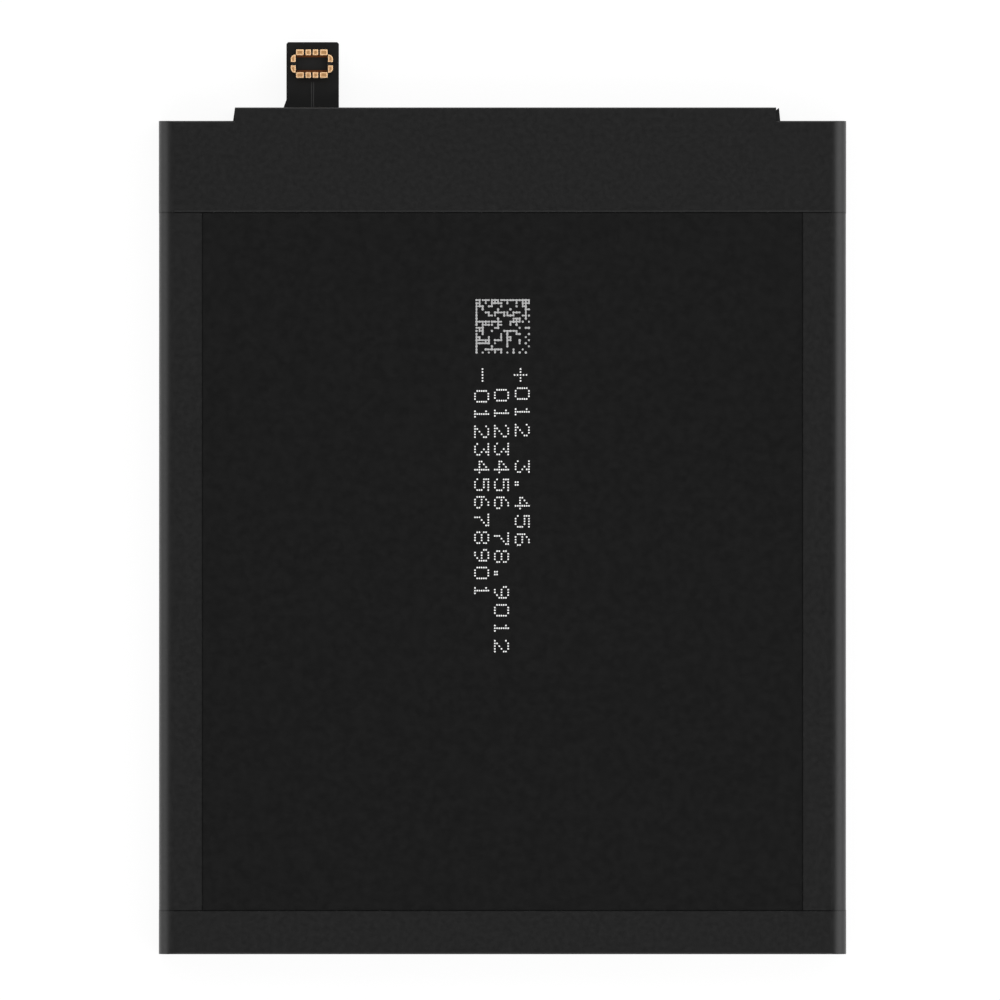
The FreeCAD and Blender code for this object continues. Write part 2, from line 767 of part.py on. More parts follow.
def flex_tail():
    body = new_part("flex_tail", TAIL_LEFT, TAIL_ROOT_Y, BOARD_TOP_Z)
    width = size("tail_width")
    length = less(TAIL_END_Y, TAIL_ROOT_Y)
    corner = size("tail_corner")
    flare = minus(size("tail_flare"))
    neck = less(NECK_Y, TAIL_ROOT_Y)
    plan = [
        (flare, "0"), (width, "0"), (width, less(length, corner)), (less(width, corner), length),
        (corner, length), ("0", less(length, corner)), ("0", add(neck, size("tail_flare_height"))),
        (flare, neck),
    ]
    grow(body, "strip", "XY", "0", size("tail_thickness"), plan)

    groove_half = half(size("groove_width"))
    middle = size("connector_inset")
    depth = size("groove_depth")
    groove = rectangle(
        less(middle, groove_half), size("tail_root_margin"),
        add(middle, groove_half), less(length, size("groove_end")),
    )
    carve(body, "conductor_gap", "XY", less(size("tail_thickness"), depth), add(depth, PAST), groove)


def tail_stiffener():
    length = size("stiffener_length")
    thick = size("stiffener_thickness")
    body = new_part("tail_stiffener", TAIL_LEFT, less(TAIL_END_Y, length), less(BOARD_TOP_Z, thick))
    width = size("tail_width")
    corner = size("tail_corner")
    plan = [
        ("0", "0"), (width, "0"), (width, less(length, corner)), (less(width, corner), length),
        (corner, length), ("0", less(length, corner)),
    ]
    grow(body, "plate", "XY", "0", thick, plan)


# Board-to-board connector: a moulded ring with formed contacts wrapped over its long walls

CONNECTOR_X = add(TAIL_LEFT, size("connector_inset"))
CONNECTOR_Y = less(TAIL_END_Y, size("connector_drop"))
SHEET = size("contact_sheet")
RING_HALF_X = half(size("ring_width"))
RING_HALF_Y = half(size("ring_depth"))
ROW_INNER_Y = less(RING_HALF_Y, size("row_depth"))
CONTACT_TOP = size("contact_height")
SIGNAL_X = half(add(size("contact_gap"), size("signal_width")))
POWER_X = add(times(1.5, size("contact_gap")), size("signal_width"), half(size("power_width")))
ROW_HALF_X = add(POWER_X, half(size("power_width")))
ANCHOR_INNER_X = add(ROW_HALF_X, size("anchor_gap"))
ANCHOR_OUTER_Y = add(ROW_INNER_Y, size("anchor_gap"))
ANCHOR_INNER_Y = half(size("anchor_split"))
SEAT = size("groove_seat")


def contact_inside(row):
    """Inner side of a contact's bends, where it lies on the wall, from the foot over to the inner leg."""
    outer = times(row, less(RING_HALF_Y, SHEET))
    inner = times(row, add(ROW_INNER_Y, SHEET))
    foot = times(row, less(RING_HALF_Y, size("contact_foot")))
    return [
        (inner, size("contact_lift")), (inner, less(CONTACT_TOP, SHEET)),
        (outer, less(CONTACT_TOP, SHEET)), (outer, SHEET), (foot, SHEET),
    ]


def contact(name, x, row, width):
    """One strip bent over the wall, with its foot turned under onto the flex."""
    body = new_part(name, add(CONNECTOR_X, x), CONNECTOR_Y, TAIL_TOP_Z)
    bend = size("contact_bend")
    foot = times(row, less(RING_HALF_Y, size("contact_foot")))
    outer = times(row, RING_HALF_Y)
    inner = times(row, ROW_INNER_Y)
    strip = [
        (foot, "0"), (outer, "0", bend), (outer, CONTACT_TOP, bend), (inner, CONTACT_TOP, bend),
        (inner, size("contact_lift")),
    ] + contact_inside(row)
    grow(body, "strip", "YZ", minus(half(width)), width, strip)

    def top_side(edge):
        return at(edge, "Z", CONTACT_TOP) and edge.BoundBox.XLength < SAME

    soften(body, "coined_rims", "Chamfer", size("contact_rim"), top_side)


def contact_groove(body, name, x, width):
    """Cuts the seats of the two contacts at this place along the rows."""
    grooves = []
    for row in (1, -1):
        outside = times(row, add(RING_HALF_Y, SHEET))
        open_side = times(row, less(ROW_INNER_Y, SHEET))
        foot = times(row, less(RING_HALF_Y, size("contact_foot")))
        above = add(CONTACT_TOP, SHEET)
        grooves.append([
            (foot, minus(SHEET)), (outside, minus(SHEET)), (outside, above), (open_side, above),
            (open_side, size("contact_lift")),
        ] + contact_inside(row))
    carve(body, name, "YZ", less(x, half(width)), width, *grooves)


def connector_housing():
    body = new_part("connector_housing", CONNECTOR_X, CONNECTOR_Y, TAIL_TOP_Z)
    row_half_x = add(ROW_HALF_X, size("housing_margin"))
    row_half_y = less(RING_HALF_Y, SEAT)
    rib_top = less(CONTACT_TOP, SEAT)
    end_half_x = less(RING_HALF_X, SHEET)
    end_half_y = less(ANCHOR_OUTER_Y, SHEET)
    end_radius = less(size("anchor_radius"), SHEET)
    rib_half_x = less(RING_HALF_X, SEAT)
    rib_half_y = less(ANCHOR_INNER_Y, size("recess_margin"))
    rows = rectangle(minus(row_half_x), minus(row_half_y), row_half_x, row_half_y)
    ends = rectangle(minus(end_half_x), minus(end_half_y), end_half_x, end_half_y, end_radius)
    ribs = rectangle(minus(rib_half_x), minus(rib_half_y), rib_half_x, rib_half_y)
    grow(body, "rows", "XY", "0", rib_top, rows)
    grow(body, "ends", "XY", "0", less(CONTACT_TOP, SHEET), ends)
    grow(body, "end_ribs", "XY", "0", rib_top, ribs)

    recess_x = less(ROW_HALF_X, size("recess_margin"))
    recess_y = add(ROW_INNER_Y, SEAT)
    recess = rectangle(minus(recess_x), minus(recess_y), recess_x, recess_y)
    floor = size("housing_floor")
    carve(body, "recess", "XY", floor, CONTACT_TOP, recess)
    ledge_y = less(recess_y, size("ledge_depth"))
    front_ledge = rectangle(minus(recess_x), minus(recess_y), recess_x, minus(ledge_y))
    rear_ledge = rectangle(minus(recess_x), ledge_y, recess_x, recess_y)
    grow(body, "ledges", "XY", floor, less(size("contact_lift"), floor), front_ledge, rear_ledge)
    for index, side in enumerate((-1, 1), start=1):
        contact_groove(body, "power_groove_%d" % index, times(side, POWER_X), size("power_width"))
        contact_groove(body, "signal_groove_%d" % index, times(side, SIGNAL_X), size("signal_width"))


def connector_anchor(name, side, row):
    """Quarter-round cap over one corner of the ring, down to the flex on its two outer sides."""
    body = new_part(name, CONNECTOR_X, CONNECTOR_Y, TAIL_TOP_Z)
    inner_x = times(side, ANCHOR_INNER_X)
    outer_x = times(side, RING_HALF_X)
    inner_y = times(row, ANCHOR_INNER_Y)
    outer_y = times(row, ANCHOR_OUTER_Y)
    radius = size("anchor_radius")
    plan = [(inner_x, inner_y), (outer_x, inner_y), (outer_x, outer_y, radius), (inner_x, outer_y)]
    grow(body, "cap", "XY", "0", CONTACT_TOP, plan)
    soften(body, "coined_rim", "Chamfer", size("contact_rim"), lambda edge: at(edge, "Z", CONTACT_TOP))
    beyond_x = times(side, less(ANCHOR_INNER_X, SHEET))
    beyond_y = times(row, less(ANCHOR_INNER_Y, SHEET))
    skirt_x = times(side, less(RING_HALF_X, SHEET))
    skirt_y = times(row, less(ANCHOR_OUTER_Y, SHEET))
    hollow = [
        (beyond_x, beyond_y), (skirt_x, beyond_y), (skirt_x, skirt_y, less(radius, SHEET)), (beyond_x, skirt_y),
    ]
    carve(body, "hollow", "XY", "0", less(CONTACT_TOP, SHEET), hollow)


def connector_metal():
    corners = [(-1, 1), (1, 1), (-1, -1), (1, -1)]
    for index, (side, row) in enumerate(corners, start=1):
        contact("power_contact_%d" % index, times(side, POWER_X), row, size("power_width"))
        contact("signal_contact_%d" % index, times(side, SIGNAL_X), row, size("signal_width"))
        connector_anchor("connector_anchor_%d" % index, side, row)


pouch_cell()
wrap_film()
board_bracket()
terrace_insulator()
board_foam_tape()
protection_board()
for tab_side in SIDES:
    tab_set(tab_side)
board_parts()
flex_tail()
tail_stiffener()
connector_housing()
connector_metal()
doc.recompute()


# Each object is checked, and each piece is written under its own name

for item in doc.Objects:
    if "Invalid" in item.State or "Error" in item.State:
        raise RuntimeError("failed: " + item.Name)
for body in parts:
    if body.Shape.isNull() or not body.Shape.isValid():
        raise RuntimeError("bad shape: " + body.Label)
    if len(body.Shape.Solids) != 1:
        raise RuntimeError("not one solid: " + body.Label)
os.makedirs("parts", exist_ok=True)
for body in parts:
    body.Shape.exportStep("parts/" + body.Label + ".step")
print(len(parts), "pieces")
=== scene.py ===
import json
import math
import random

import bmesh
import bpy
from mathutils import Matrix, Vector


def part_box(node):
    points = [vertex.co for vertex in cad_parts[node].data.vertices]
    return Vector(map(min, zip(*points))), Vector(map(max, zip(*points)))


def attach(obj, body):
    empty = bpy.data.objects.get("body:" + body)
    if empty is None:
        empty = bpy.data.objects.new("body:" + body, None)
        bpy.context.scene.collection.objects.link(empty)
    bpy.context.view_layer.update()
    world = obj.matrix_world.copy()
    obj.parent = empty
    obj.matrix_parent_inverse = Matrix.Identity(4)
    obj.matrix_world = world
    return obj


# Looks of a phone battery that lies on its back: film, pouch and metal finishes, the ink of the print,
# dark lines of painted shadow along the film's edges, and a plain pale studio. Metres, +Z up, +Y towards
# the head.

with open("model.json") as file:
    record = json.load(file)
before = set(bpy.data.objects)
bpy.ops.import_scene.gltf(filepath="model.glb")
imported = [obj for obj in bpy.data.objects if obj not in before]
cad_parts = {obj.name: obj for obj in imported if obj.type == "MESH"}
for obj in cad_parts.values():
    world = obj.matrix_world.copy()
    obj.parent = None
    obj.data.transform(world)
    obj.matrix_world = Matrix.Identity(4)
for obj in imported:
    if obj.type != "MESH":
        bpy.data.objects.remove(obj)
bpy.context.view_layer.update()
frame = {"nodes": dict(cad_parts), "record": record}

MM = 0.001
WRAP_LOW, WRAP_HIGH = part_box("wrap_film")
HOUSING_LOW, HOUSING_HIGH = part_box("connector_housing")
POUCH_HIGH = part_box("pouch_cell")[1]
TAIL_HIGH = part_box("flex_tail")[1]


# Places on the front, from the frame

FILM = 0.08 * MM
SIDE_FLAP = 4.2 * MM
BOTTOM_FLAP = 4.2 * MM
HEAD_FLAP = 8.9 * MM
NECK_HEIGHT = 1.31 * MM
EDGE_RADIUS = 1.5 * MM
FRONT_Z = POUCH_HIGH.z
FLAP_Z = FRONT_Z + FILM
SIDE_X = POUCH_HIGH.x + FILM
FLAT_X = SIDE_X - EDGE_RADIUS
WINDOW_X = SIDE_X - SIDE_FLAP
SHOULDER_Y = WRAP_HIGH.y - NECK_HEIGHT
HEAD_SEAM_Y = SHOULDER_Y - HEAD_FLAP
BOTTOM_SEAM_Y = WRAP_LOW.y + BOTTOM_FLAP


# Places in the connector, the later ones as distances from its middle

CONNECTOR_X = (HOUSING_LOW.x + HOUSING_HIGH.x) / 2
CONNECTOR_Y = (HOUSING_LOW.y + HOUSING_HIGH.y) / 2


def half_size(node):
    low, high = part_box(node)
    return (high.x - low.x) / 2, (high.y - low.y) / 2


def middle(node):
    low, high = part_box(node)
    return abs((low.x + high.x) / 2 - CONNECTOR_X), abs((low.y + high.y) / 2 - CONNECTOR_Y)


POWER_X, CONTACT_Y = middle("power_contact_1")
SIGNAL_X = middle("signal_contact_1")[0]
POWER_HALF_WIDTH, CONTACT_HALF_DEPTH = half_size("power_contact_1")
SIGNAL_HALF_WIDTH = half_size("signal_contact_1")[0]
ANCHOR_X, ANCHOR_Y = middle("connector_anchor_1")
ANCHOR_HALF_X, ANCHOR_HALF_Y = half_size("connector_anchor_1")
ANCHOR_RADIUS = 0.41 * MM
LEDGE_Y = 0.752 * MM
LEDGE_HALF = 0.125 * MM
LEDGE_TOP_Z = HOUSING_LOW.z + 0.27 * MM


# Colours, as the tones that the screen shows

def tone(level):
    """Linear strength of an 8-bit screen tone."""
    share = level / 255
    if share <= 0.04045:
        return share / 12.92
    return ((share + 0.055) / 1.055) ** 2.4


def ink(red, green, blue):
    return (tone(red), tone(green), tone(blue), 1)


def grey(level):
    return ink(level, level, level)


def shade(colour, factor):
    return tuple(channel * factor for channel in colour[:3]) + (1,)


WRAP_BLACK = grey(10)
POUCH_BLACK = grey(14)
FLEX_BLACK = grey(24)
HOUSING_BLACK = grey(27)
# Painted reflection: the brown of the connector's ledges, the gold's light seen in shade
LEDGE_PAINTED_REFLECTION = ink(104, 56, 18)
GOLD = ink(253, 196, 137)
# Painted highlight: the pale gold along the rims of the contacts and anchors
RIM_HIGHLIGHT_GOLD = ink(255, 236, 204)


# Finishes: everything about a surface apart from its colour

class Grain:
    """Noise of lumps SIZE metres across, with DETAIL finer layers, longer along an axis by STRETCH."""

    def __init__(self, size, detail=3, stretch=(1, 1, 1)):
        self.size = size
        self.detail = detail
        self.stretch = stretch


class Spread:
    """A value that wanders from LOW to HIGH with a grain."""

    def __init__(self, grain, low, high):
        self.grain = grain
        self.low = low
        self.high = high


class Bumps:
    """Relief HEIGHT metres high."""

    def __init__(self, grain, height):
        self.grain = grain
        self.height = height


class Finish:
    """TONES are factors on the colour. ROUGHNESS is a Spread, or a number that is the same all over."""

    def __init__(self, tones, roughness, bumps, specular=0.5, metallic=0, sheen=0):
        self.tones = tones
        self.roughness = roughness
        self.bumps = bumps
        self.specular = specular
        self.metallic = metallic
        self.sheen = sheen


def film_finish(specular, sheen=0):
    """Thin plastic film: a matt coat with a very fine grain, which pales where it turns away."""
    return Finish(
        tones=Spread(Grain(9 * MM, detail=4), 0.97, 1.03),
        roughness=Spread(Grain(0.5 * MM), 0.38, 0.46),
        bumps=Bumps(Grain(0.12 * MM, detail=2), 0.0006 * MM),
        specular=specular,
        sheen=sheen,
    )


# Outer layer of the pouch foil, in softer lumps than the wrap
LAMINATE = Finish(
    tones=Spread(Grain(12 * MM, detail=4), 0.97, 1.03),
    roughness=Spread(Grain(0.8 * MM), 0.37, 0.47),
    bumps=Bumps(Grain(0.15 * MM, detail=2), 0.0006 * MM),
    specular=0.25,
)
# Matt moulded plastic with a spark-eroded texture
MOULDED = Finish(
    tones=Spread(Grain(1.5 * MM), 0.9, 1.1),
    roughness=Spread(Grain(0.2 * MM), 0.52, 0.68),
    bumps=Bumps(Grain(0.05 * MM, detail=4), 0.002 * MM),
    specular=0.25,
)
# Rolled metal strip with drawing lines along its length
DRAWING_LINES = Grain(0.06 * MM, detail=2, stretch=(1, 12, 1))
STRIP = Finish(
    tones=Spread(DRAWING_LINES, 0.9, 1.05),
    roughness=Spread(DRAWING_LINES, 0.26, 0.4),
    bumps=Bumps(DRAWING_LINES, 0.0015 * MM),
    metallic=1,
)
# Glossy solder mask with the faint lumps of copper under it
SOLDER_MASK = Finish(
    tones=Spread(Grain(1.2 * MM, detail=1), 0.8, 1.25),
    roughness=0.28,
    bumps=Bumps(Grain(1.2 * MM, detail=1), 0.01 * MM),
)
# Film tape, glossy and slightly rippled
TAPE = Finish(
    tones=Spread(Grain(3 * MM), 0.9, 1.1),
    roughness=0.22,
    bumps=Bumps(Grain(1.6 * MM, detail=1), 0.006 * MM),
)
# Closed-cell foam with fine pores
PORES = Grain(0.12 * MM, detail=5)
FOAM = Finish(tones=Spread(PORES, 0.6, 1.3), roughness=0.9, bumps=Bumps(PORES, 0.03 * MM), specular=0.2)
# Fired ceramic chip body
CERAMIC = Finish(
    tones=Spread(Grain(0.15 * MM), 0.88, 1.1),
    roughness=0.45,
    bumps=Bumps(Grain(0.06 * MM), 0.002 * MM),
    specular=0.4,
)
# Milky polymer strip welded round a tab
SEAL = Finish(
    tones=Spread(Grain(0.8 * MM), 0.92, 1.04),
    roughness=0.4,
    bumps=Bumps(Grain(0.5 * MM, detail=1), 0.01 * MM),
    specular=0.45,
)
# Flat marking ink with a slightly uneven cover
MARKING = Finish(
    tones=Spread(Grain(0.1 * MM), 0.94, 1),
    roughness=0.7,
    bumps=Bumps(Grain(0.04 * MM), 0.001 * MM),
    specular=0.2,
)


# Materials

NOISE_LOW, NOISE_HIGH = 0.3, 0.7
SHEEN_ROUGHNESS = 0.3
MIX_FACTOR, MIX_FIRST, MIX_SECOND = 0, 6, 7
MIX_COLOUR = 2


class Surface:
    """A Principled material in the making."""

    def __init__(self, name, colour, specular, metallic=0):
        self.material = bpy.data.materials.new(name)
        self.material.use_nodes = True
        self.nodes = self.material.node_tree.nodes
        self.links = self.material.node_tree.links
        self.sockets = self.nodes["Principled BSDF"].inputs
        self.sockets["Base Color"].default_value = colour
        self.sockets["Specular IOR Level"].default_value = specular
        self.sockets["Metallic"].default_value = metallic
        self.place = self.nodes.new("ShaderNodeTexCoord").outputs["Object"]

    def noise(self, grain):
        mapping = self.nodes.new("ShaderNodeMapping")
        mapping.inputs["Scale"].default_value = [1 / factor for factor in grain.stretch]
        texture = self.nodes.new("ShaderNodeTexNoise")
        texture.inputs["Scale"].default_value = 1 / grain.size
        texture.inputs["Detail"].default_value = grain.detail
        self.links.new(self.place, mapping.inputs["Vector"])
        self.links.new(mapping.outputs["Vector"], texture.inputs["Vector"])
        return texture.outputs["Fac"]

    def ramp(self, source, from_low, from_high, low, high, curve="LINEAR"):
        """SOURCE mapped from one span to another, and held at its ends."""
        span = self.nodes.new("ShaderNodeMapRange")
        span.interpolation_type = curve
        span.inputs["From Min"].default_value = from_low
        span.inputs["From Max"].default_value = from_high
        span.inputs["To Min"].default_value = low
        span.inputs["To Max"].default_value = high
        self.links.new(source, span.inputs["Value"])
        return span.outputs["Result"]

    def wander(self, spread):
        return self.ramp(self.noise(spread.grain), NOISE_LOW, NOISE_HIGH, spread.low, spread.high)

    def maths(self, operation, *terms):
        """A sum on sockets and numbers."""
        node = self.nodes.new("ShaderNodeMath")
        node.operation = operation
        for term, socket in zip(terms, node.inputs):
            if isinstance(term, bpy.types.NodeSocket):
                self.links.new(term, socket)
            else:
                socket.default_value = term
        return node.outputs[0]

    def axis(self, name):
        apart = self.nodes.new("ShaderNodeSeparateXYZ")
        self.links.new(self.place, apart.inputs["Vector"])
        return apart.outputs[name]

    def colour_mix(self, factor, first, second):
        """Base colour that goes from FIRST to SECOND with FACTOR."""
        mix = self.nodes.new("ShaderNodeMix")
        mix.data_type = "RGBA"
        mix.inputs[MIX_FIRST].default_value = first
        mix.inputs[MIX_SECOND].default_value = second
        self.links.new(factor, mix.inputs[MIX_FACTOR])
        self.links.new(mix.outputs[MIX_COLOUR], self.sockets["Base Color"])

    def rough(self, source):
        self.links.new(source, self.sockets["Roughness"])

    def relief(self, bumps):
        bump = self.nodes.new("ShaderNodeBump")
        bump.inputs["Distance"].default_value = bumps.height
        self.links.new(self.noise(bumps.grain), bump.inputs["Height"])
        self.links.new(bump.outputs["Normal"], self.sockets["Normal"])


def surface(name, colour, finish):
    """Material of one colour in one finish."""
    look = Surface(name, colour, finish.specular, finish.metallic)
    low, high = shade(colour, finish.tones.low), shade(colour, finish.tones.high)
    look.colour_mix(look.wander(Spread(finish.tones.grain, 0, 1)), low, high)
    if isinstance(finish.roughness, Spread):
        look.rough(look.wander(finish.roughness))
    else:
        look.sockets["Roughness"].default_value = finish.roughness
    look.sockets["Sheen Weight"].default_value = finish.sheen
    look.sockets["Sheen Roughness"].default_value = SHEEN_ROUGHNESS
    look.relief(finish.bumps)
    return look.material


# The connector's own materials

HOUSING_SPECULAR = 0.2
RIM_CORE = 0.05 * MM
RIM_REACH = 0.15 * MM
RIM_ROUGHNESS = 0.62
RIM_WEAR_AND_HIGHLIGHT = Spread(Grain(0.2 * MM), 0.75, 1)
SATIN = Spread(Grain(0.08 * MM), 0.36, 0.48)
STAMPING_MARKS = Bumps(Grain(0.05 * MM, detail=2, stretch=(1, 3, 1)), 0.0008 * MM)


def from_middle_lines(look):
    """Distance from the connector's two middle lines, the same in its four quarters."""
    across = look.maths("ABSOLUTE", look.maths("SUBTRACT", look.axis("X"), CONNECTOR_X))
    along = look.maths("ABSOLUTE", look.maths("SUBTRACT", look.axis("Y"), CONNECTOR_Y))
    return across, along


def housing_surface(name):
    """Black moulded ring; its two ledges under the contact legs are painted brown, a painted reflection of
    the gold in shade.
    """
    look = Surface(name, HOUSING_BLACK, HOUSING_SPECULAR)
    along = from_middle_lines(look)[1]
    on_ledge = look.maths("COMPARE", along, LEDGE_Y, LEDGE_HALF)
    low = look.maths("LESS_THAN", look.axis("Z"), LEDGE_TOP_Z)
    look.colour_mix(look.maths("MULTIPLY", on_ledge, low), HOUSING_BLACK, LEDGE_PAINTED_REFLECTION)
    look.rough(look.wander(MOULDED.roughness))
    look.relief(MOULDED.bumps)
    return look.material


def from_contact_edge(look, middle_x, half_width):
    """Distance inwards from the rim of a contact's flat top."""
    across, along = from_middle_lines(look)
    off_x = look.maths("ABSOLUTE", look.maths("SUBTRACT", across, middle_x))
    off_y = look.maths("ABSOLUTE", look.maths("SUBTRACT", along, CONTACT_Y))
    in_x = look.maths("SUBTRACT", half_width, off_x)
    in_y = look.maths("SUBTRACT", CONTACT_HALF_DEPTH, off_y)
    return look.maths("MINIMUM", in_x, in_y)


def from_anchor_edge(look):
    """Distance inwards from the rim of a quarter-round anchor."""
    across, along = from_middle_lines(look)
    arc_x = ANCHOR_X + ANCHOR_HALF_X - ANCHOR_RADIUS
    arc_y = ANCHOR_Y + ANCHOR_HALF_Y - ANCHOR_RADIUS
    past_x = look.maths("MAXIMUM", look.maths("SUBTRACT", across, arc_x), 0)
    past_y = look.maths("MAXIMUM", look.maths("SUBTRACT", along, arc_y), 0)
    square = look.maths("ADD", look.maths("MULTIPLY", past_x, past_x), look.maths("MULTIPLY", past_y, past_y))
    in_arc = look.maths("SUBTRACT", ANCHOR_RADIUS, look.maths("SQRT", square))
    in_x = look.maths("SUBTRACT", across, ANCHOR_X - ANCHOR_HALF_X)
    in_y = look.maths("SUBTRACT", along, ANCHOR_Y - ANCHOR_HALF_Y)
    return look.maths("MINIMUM", in_arc, look.maths("MINIMUM", in_x, in_y))


def gold_surface(name, from_edge, *sizes):
    """Satin gold plate over stamped metal, rougher along its coined rim, which is painted pale as a
    highlight.
    """
    look = Surface(name, GOLD, specular=0.5, metallic=1)
    rim = look.ramp(from_edge(look, *sizes), RIM_CORE, RIM_REACH, 1, 0, curve="SMOOTHSTEP")
    # The rim's roughness is wear; its pale colour is a painted highlight
    rim_wear_and_highlight = look.maths("MULTIPLY", rim, look.wander(RIM_WEAR_AND_HIGHLIGHT))
    look.colour_mix(rim_wear_and_highlight, GOLD, RIM_HIGHLIGHT_GOLD)
    look.rough(look.maths("ADD", look.wander(SATIN), look.maths("MULTIPLY", rim_wear_and_highlight, RIM_ROUGHNESS)))
    look.relief(STAMPING_MARKS)
    return look.material


# Looks of the scene's own pieces, of the nodes by slot in the record, and of the contacts by kind

INK_LOOK = surface("marking_ink_white", grey(252), MARKING)
MARK_LOOK = surface("code_mark_grey", grey(190), MARKING)
# Painted shadow: near-black lines at the foot of the film's flaps, where the step would cast shade
SEAM_SHADOW_LOOK = surface("seam_painted_shadow_black", grey(4), film_finish(specular=0.22))
# Painted shade: the seam lines where they run on over the rounded long edges
EDGE_SHADE_LOOK = surface("film_edge_painted_shade", grey(5), film_finish(specular=0.32))
# Painted highlight: pale lines where the conductors' raised edges catch light
TRACE_HIGHLIGHT_LOOK = surface("flex_trace_edge_highlight", grey(58), film_finish(specular=0.25))
# Painted highlight: lighter than the wrap film, where the head flap's cut edge catches light
LIP_HIGHLIGHT_LOOK = surface("film_cut_lip_painted_highlight", grey(28), film_finish(specular=0.5))

SLOT_LOOKS = {
    "wrap_film": surface("wrap_film_black", WRAP_BLACK, film_finish(specular=0.48, sheen=0.3)),
    "pouch_laminate": surface("pouch_laminate_black", POUCH_BLACK, LAMINATE),
    "bracket_plastic": surface("bracket_plastic_black", grey(22), MOULDED),
    "insulating_tape": surface("insulating_tape_amber", ink(176, 104, 26), TAPE),
    "foam_tape": surface("foam_tape_black", grey(24), FOAM),
    "board_laminate": surface("solder_mask_green", ink(12, 44, 28), SOLDER_MASK),
    "aluminium_tab": surface("aluminium_strip", grey(206), STRIP),
    "nickel": surface("nickel_strip", ink(190, 184, 172), STRIP),
    "seal_polymer": surface("seal_polymer_milky", grey(208), SEAL),
    "flex_film": surface("flex_film_black", FLEX_BLACK, film_finish(specular=0.25)),
    "stiffener": surface("stiffener_black", grey(26), MOULDED),
    "connector_plastic": housing_surface("connector_plastic_black"),
    "gold_plate": gold_surface("gold_anchor_satin", from_anchor_edge),
    "chip_plastic": surface("chip_package_black", grey(20), MOULDED),
    "dark_ceramic": surface("dark_chip_ceramic", grey(26), CERAMIC),
    "tan_ceramic": surface("tan_chip_ceramic", ink(150, 116, 82), CERAMIC),
}
CONTACT_LOOKS = {
    "power_contact": gold_surface("gold_power_satin", from_contact_edge, POWER_X, POWER_HALF_WIDTH),
    "signal_contact": gold_surface("gold_signal_satin", from_contact_edge, SIGNAL_X, SIGNAL_HALF_WIDTH),
}


def dress_nodes():
    """Gives each CAD node the look of its slot in the record, and each contact its own gold."""
    for part in frame["record"]["subparts"]:
        kind = part["node"].rsplit("_", 1)[0]
        look = CONTACT_LOOKS.get(kind, SLOT_LOOKS[part["material_slot"]])
        node = frame["nodes"][part["node"]]
        node.data.materials.clear()
        node.data.materials.append(look)


# Helpers for pieces

def new_object(name, mesh, look):
    data = bpy.data.meshes.new(name)
    mesh.to_mesh(data)
    mesh.free()
    data.materials.append(look)
    piece = bpy.data.objects.new(name, data)
    bpy.context.scene.collection.objects.link(piece)
    return piece


def finish_piece(name, mesh, look):
    """Turns a bmesh into an object that rides on the battery."""
    bmesh.ops.recalc_face_normals(mesh, faces=mesh.faces)
    piece = new_object(name, mesh, look)
    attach(piece, "root")


def add_band(mesh, first, second):
    """Faces between two rings of as many vertices."""
    for index in range(len(first)):
        after = (index + 1) % len(first)
        mesh.faces.new((first[index], first[after], second[after], second[index]))


def add_stack(mesh, rings):
    """A closed solid through the rings, one after another."""
    for first, second in zip(rings, rings[1:]):
        add_band(mesh, first, second)
    mesh.faces.new(rings[0])
    mesh.faces.new(rings[-1])


DOT_PROFILE = ((1, 0), (1, 0.5), (0.8, 1))  # radius and height, as shares of the dot's own


def add_dot(mesh, x, y, radius, height, sides):
    """One flat dot of ink on the pouch, with a softened rim."""
    rings = []
    for radius_share, height_share in DOT_PROFILE:
        reach = radius * radius_share
        z = FRONT_Z + height * height_share
        ring = []
        for side in range(sides):
            angle = 2 * math.pi * side / sides
            ring.append(mesh.verts.new((x + reach * math.cos(angle), y + reach * math.sin(angle), z)))
        rings.append(ring)
    add_stack(mesh, rings)


def add_ribbon(mesh, path, y_low, y_high, height):
    """A thin ribbon that follows PATH, a list of ((x, z), (normal x, normal z)), from Y_LOW to Y_HIGH."""
    rings = []
    for (x, z), (across, up) in path:
        top_x = x + across * height
        top_z = z + up * height
        corners = ((x, y_low, z), (x, y_high, z), (top_x, y_high, top_z), (top_x, y_low, top_z))
        rings.append([mesh.verts.new(corner) for corner in corners])
    add_stack(mesh, rings)


def add_bar(mesh, x_ends, y_low, y_high, z, height):
    """A flat bar between two places along X, given in any order."""
    x_low, x_high = sorted(x_ends)
    up = (0, 1)
    add_ribbon(mesh, [((x_low, z), up), ((x_high, z), up)], y_low, y_high, height)


# Painted shadow: dark lines along the cut edges of the film, at the foot of each flap

SEAM_SHADOW_WIDTH = 0.11 * MM
SEAM_SHADOW_HEIGHT = 0.012 * MM
SEAM_SHADOW_DROP = 2.4 * MM
ARC_STEPS = 12


def over_the_edge(side):
    """Path from where the side flap starts to round off, over the long edge and down the side."""
    bend_z = FLAP_Z - EDGE_RADIUS
    path = []
    for step in range(ARC_STEPS + 1):
        angle = math.pi / 2 * step / ARC_STEPS
        across = math.sin(angle)
        up = math.cos(angle)
        place = (side * (FLAT_X + EDGE_RADIUS * across), bend_z + EDGE_RADIUS * up)
        path.append((place, (side * across, up)))
    path.append(((side * SIDE_X, FLAP_Z - SEAM_SHADOW_DROP), (side, 0)))
    return path


